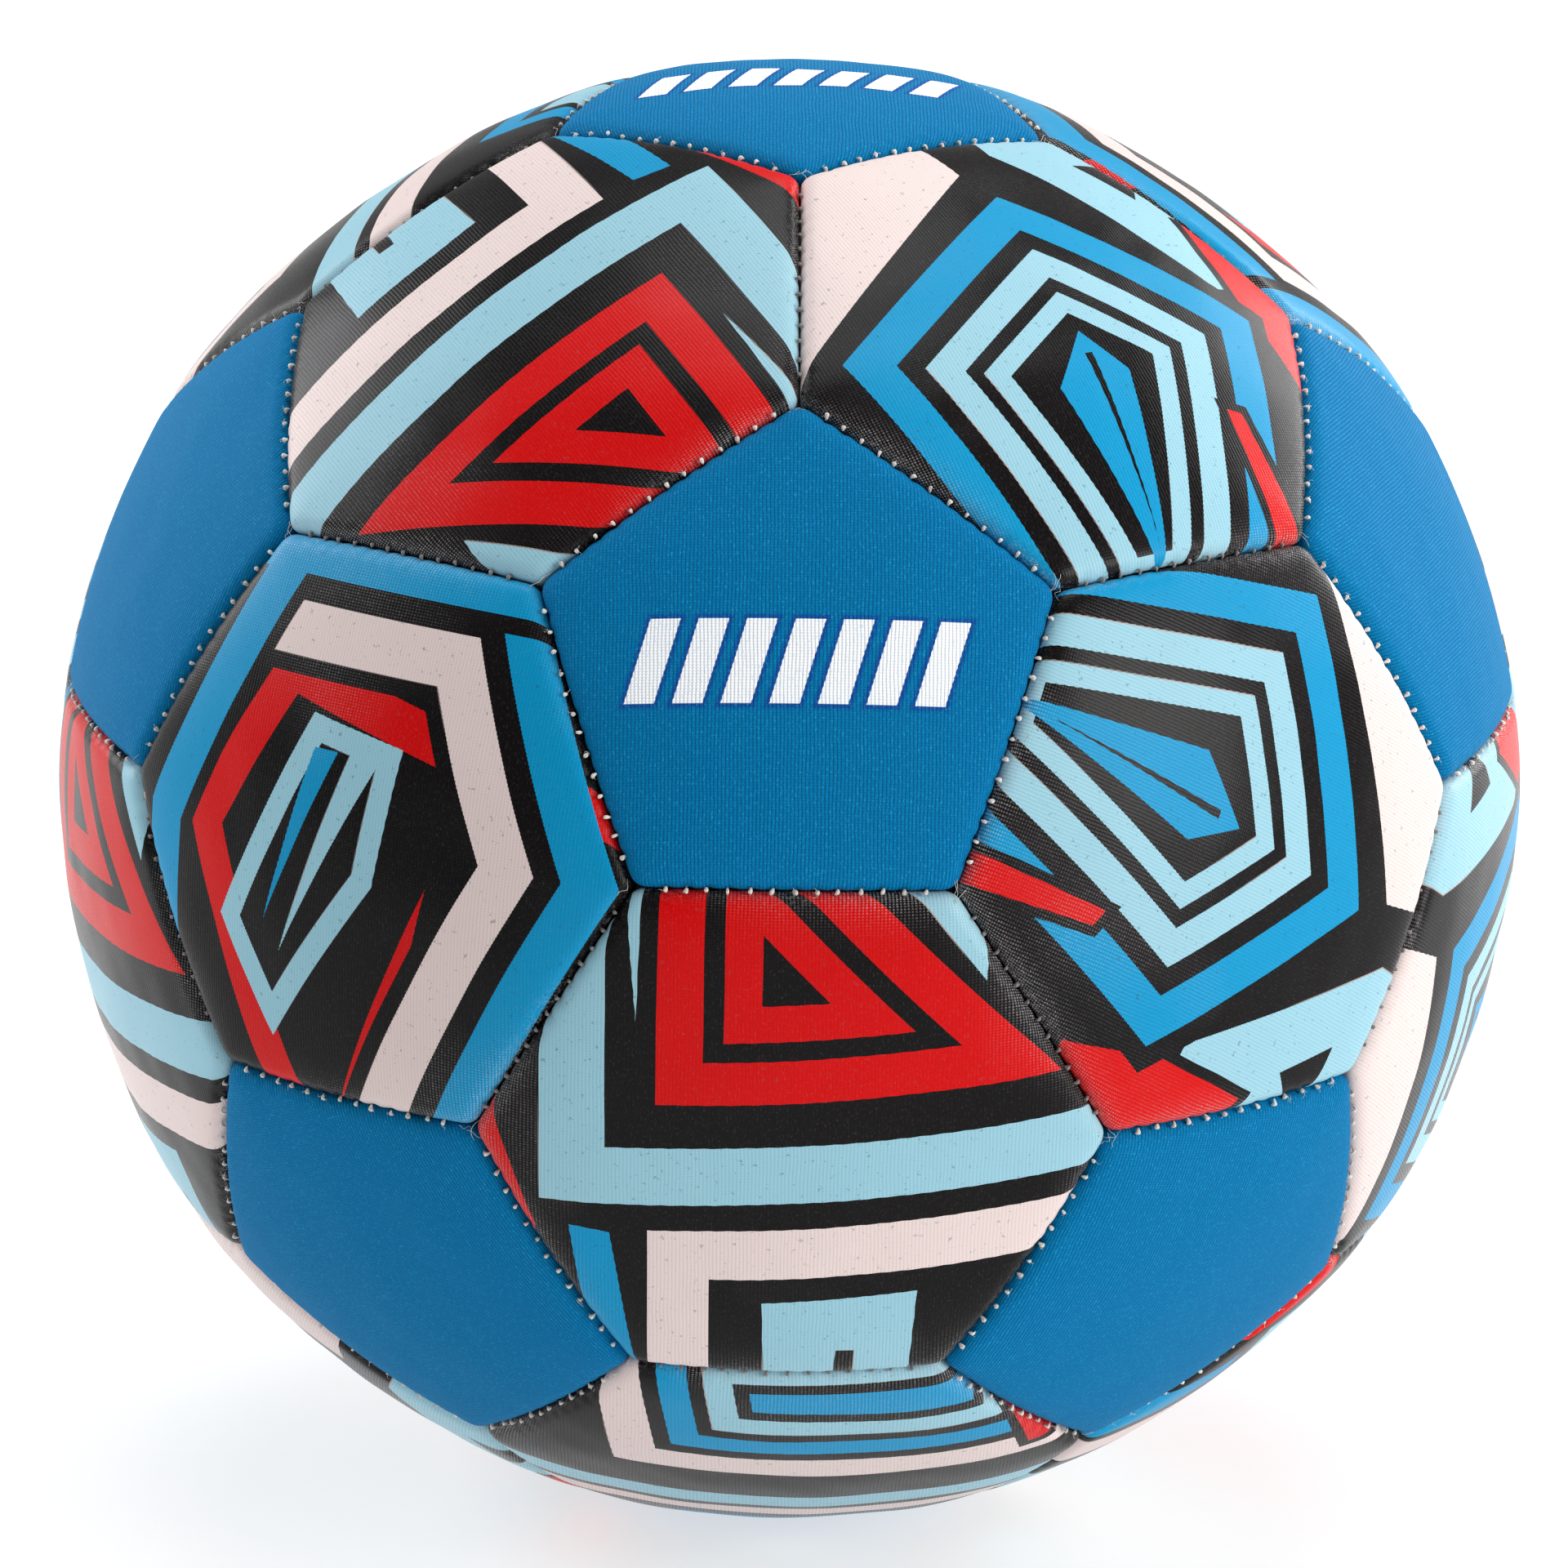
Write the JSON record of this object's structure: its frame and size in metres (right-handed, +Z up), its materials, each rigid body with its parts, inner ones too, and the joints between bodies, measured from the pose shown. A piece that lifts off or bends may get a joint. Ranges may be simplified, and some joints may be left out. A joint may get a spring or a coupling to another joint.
{
  "type": "soccer ball",
  "caption": "Hand-stitched football of pentagon and hexagon fabric panels over a lining and an inflated bladder, with a recessed needle valve.",
  "frame": {"origin": "centre of the ball", "axes": "+Z up through the middle of the top pentagon; the first upper pentagon faces -Y; the valve is in the lower pentagon that faces +Y"},
  "size_m": [0.2206, 0.2192, 0.2194],
  "materials": {
    "pentagon_cover": "blue jersey knit on foam",
    "hexagon_cover": "black jersey knit on foam, with printed angular bands",
    "lining": "plain woven cotton and polyester",
    "thread": "waxed polyester twine",
    "bladder": "smooth butyl rubber",
    "valve": "moulded rubber",
    "valve_patch": "reinforcement cloth"
  },
  "bodies": {
    "root": {"bladder": "bladder", "hexagon_linings": "lining", "hexagon_panel_bottom_1": "hexagon_cover", "hexagon_panel_bottom_2": "hexagon_cover", "hexagon_panel_bottom_3": "hexagon_cover", "hexagon_panel_bottom_4": "hexagon_cover", "hexagon_panel_bottom_5": "hexagon_cover", "hexagon_panel_lower_1": "hexagon_cover", "hexagon_panel_lower_2": "hexagon_cover", "hexagon_panel_lower_3": "hexagon_cover", "hexagon_panel_lower_4": "hexagon_cover", "hexagon_panel_lower_5": "hexagon_cover", "hexagon_panel_top_1": "hexagon_cover", "hexagon_panel_top_2": "hexagon_cover", "hexagon_panel_top_3": "hexagon_cover", "hexagon_panel_top_4": "hexagon_cover", "hexagon_panel_top_5": "hexagon_cover", "hexagon_panel_upper_1": "hexagon_cover", "hexagon_panel_upper_2": "hexagon_cover", "hexagon_panel_upper_3": "hexagon_cover", "hexagon_panel_upper_4": "hexagon_cover", "hexagon_panel_upper_5": "hexagon_cover", "hexagon_stitches_bottom": "thread", "hexagon_stitches_lower": "thread", "hexagon_stitches_middle": "thread", "hexagon_stitches_top": "thread", "hexagon_stitches_upper": "thread", "pentagon_linings": "lining", "pentagon_panel_bottom": "pentagon_cover", "pentagon_panel_lower_1": "pentagon_cover", "pentagon_panel_lower_2": "pentagon_cover", "pentagon_panel_lower_3": "pentagon_cover", "pentagon_panel_lower_4": "pentagon_cover", "pentagon_panel_lower_5": "pentagon_cover", "pentagon_panel_top": "pentagon_cover", "pentagon_panel_upper_1": "pentagon_cover", "pentagon_panel_upper_2": "pentagon_cover", "pentagon_panel_upper_3": "pentagon_cover", "pentagon_panel_upper_4": "pentagon_cover", "pentagon_panel_upper_5": "pentagon_cover", "pentagon_stitches_bottom": "thread", "pentagon_stitches_lower_1": "thread", "pentagon_stitches_lower_2": "thread", "pentagon_stitches_lower_3": "thread", "pentagon_stitches_lower_4": "thread", "pentagon_stitches_lower_5": "thread", "pentagon_stitches_top": "thread", "pentagon_stitches_upper_1": "thread", "pentagon_stitches_upper_2": "thread", "pentagon_stitches_upper_3": "thread", "pentagon_stitches_upper_4": "thread", "pentagon_stitches_upper_5": "thread", "valve_core": "valve", "valve_housing": "valve", "valve_patch": "valve_patch"}
  },
  "joints": []
}
